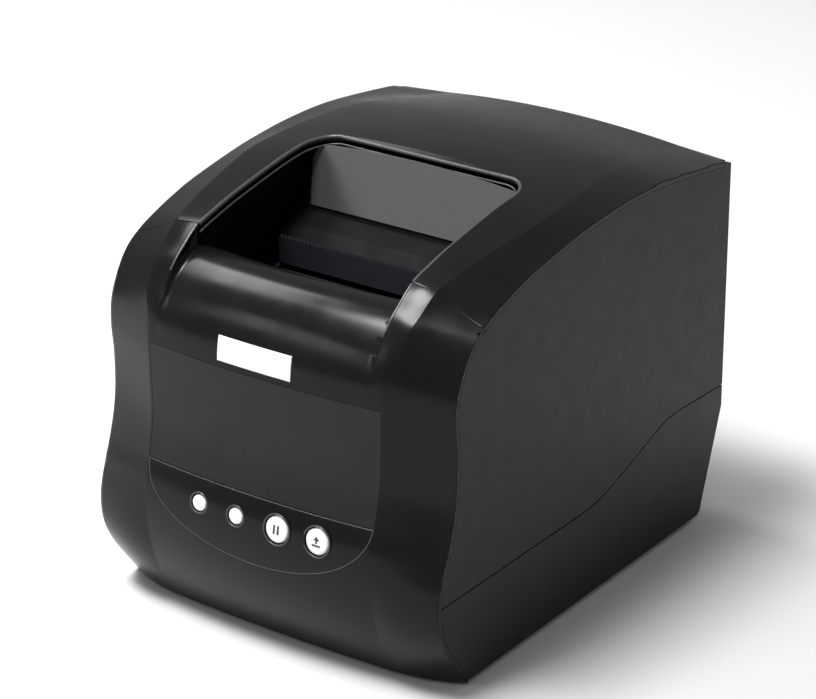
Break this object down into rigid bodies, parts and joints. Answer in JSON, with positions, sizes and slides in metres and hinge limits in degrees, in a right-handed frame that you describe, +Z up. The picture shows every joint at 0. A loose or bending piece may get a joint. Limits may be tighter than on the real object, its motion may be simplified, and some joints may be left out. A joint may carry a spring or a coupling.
{
  "type": "thermal label printer",
  "caption": "Desktop thermal label printer with a hinged lid, paper slot with toothed tear bar, rubber platen, print head, label bay, control panel and gear drive.",
  "frame": {"origin": "on the floor, under the middle of the printer's box", "axes": "+Z up, front with the controls faces -Y, +X to the right seen from the front"},
  "size_m": [0.15, 0.1946, 0.1567],
  "materials": {
    "gloss_black": "high-gloss injection-moulded ABS",
    "matte_black": "fine spark-textured ABS",
    "inner_black": "satin moulded plastic",
    "smoked_window": "smoked clear acrylic",
    "white_plastic": "smooth white plastic",
    "rubber": "soft black rubber, ground on the roller",
    "steel": "plain and nickel-plated steel",
    "aluminium": "extruded, mill finish",
    "acetal": "natural acetal",
    "board": "green solder resist with components",
    "ceramic": "glazed ceramic head substrate"
  },
  "bodies": {
    "base": {"front_cover": "gloss_black", "front_panel": "gloss_black", "control_panel": "gloss_black", "base_tray": "matte_black", "upper_housing": "matte_black", "roll_tray": "inner_black", "gap_sensor": "inner_black", "cover_switch": "inner_black", "dc_jack": "inner_black", "rocker_frame": "inner_black", "badge_plate": "white_plastic", "online_led_window": "white_plastic", "error_led_window": "white_plastic", "rubber_foot_1": "rubber", "rubber_foot_2": "rubber", "rubber_foot_3": "rubber", "rubber_foot_4": "rubber", "mechanism_frame": "steel", "head_spring_left": "steel", "head_spring_right": "steel", "idler_stud": "steel", "stepper_motor": "steel", "hinge_pin_left": "steel", "hinge_pin_right": "steel", "usb_port": "steel", "base_screw_1": "steel", "base_screw_2": "steel", "base_screw_3": "steel", "base_screw_4": "steel", "head_heat_sink": "aluminium", "main_board": "board", "button_board": "board", "print_head": "ceramic"},
    "lid": {"lid_cover": "gloss_black", "cover_liner": "inner_black", "cover_window": "smoked_window", "tear_bar": "steel", "platen_bracket": "steel", "platen_bush_left": "acetal", "platen_bush_right": "acetal"},
    "platen": {"platen_roller": "rubber", "platen_shaft": "steel", "platen_gear": "acetal"},
    "idler": {"idler_gear": "acetal"},
    "motor_rotor": {"motor_pinion": "steel"},
    "guide_left": {"paper_guide_left": "inner_black"},
    "guide_right": {"paper_guide_right": "inner_black"},
    "guide_gear": {"guide_pinion": "acetal"},
    "pause_key": {"pause_button": "white_plastic"},
    "feed_key": {"feed_button": "white_plastic"},
    "rocker": {"power_rocker": "inner_black"}
  },
  "joints": [
    {"name": "lid_hinge", "type": "hinge", "parent": "base", "child": "lid", "pos_m": [0, 0.0942, 0.141], "axis": [-1, 0, 0], "range_deg": [0, 90]},
    {"name": "platen_spin", "type": "hinge", "parent": "lid", "child": "platen", "pos_m": [0, -0.024, 0.105], "axis": [1, 0, 0], "continuous": true},
    {"name": "idler_spin", "type": "hinge", "parent": "base", "child": "idler", "pos_m": [-0.0575, -0.01867, 0.08749], "axis": [1, 0, 0], "continuous": true},
    {"name": "motor_spin", "type": "hinge", "parent": "base", "child": "motor_rotor", "pos_m": [-0.0575, -0.01867, 0.07219], "axis": [1, 0, 0], "continuous": true},
    {"name": "guide_left_slide", "type": "slide", "parent": "base", "child": "guide_left", "axis": [1, 0, 0], "range_m": [0, 0.028]},
    {"name": "guide_right_slide", "type": "slide", "parent": "base", "child": "guide_right", "axis": [-1, 0, 0], "range_m": [0, 0.028]},
    {"name": "guide_gear_spin", "type": "hinge", "parent": "base", "child": "guide_gear", "pos_m": [0, 0.0475, 0.026], "axis": [0, 0, 1], "range_deg": [-5, 410]},
    {"name": "pause_press", "type": "slide", "parent": "base", "child": "pause_key", "axis": [0, 0.985, -0.1724], "range_m": [0, 0.001], "stiffness_N_per_m": 300, "springref_m": -0.001},
    {"name": "feed_press", "type": "slide", "parent": "base", "child": "feed_key", "axis": [0, 0.985, -0.1724], "range_m": [0, 0.001], "stiffness_N_per_m": 300, "springref_m": -0.001},
    {"name": "power_rock", "type": "hinge", "parent": "base", "child": "rocker", "pos_m": [-0.071, 0.04, 0.024], "axis": [0, 0, 1], "range_deg": [0, 10]}
  ],
  "couplings": [
    {"joint": "idler_spin", "follows": "platen_spin", "ratio": -0.8},
    {"joint": "motor_spin", "follows": "platen_spin", "ratio": 1.6},
    {"joint": "guide_right_slide", "follows": "guide_left_slide", "ratio": 1},
    {"joint": "guide_gear_spin", "follows": "guide_left_slide", "rad_per_m": 250}
  ]
}
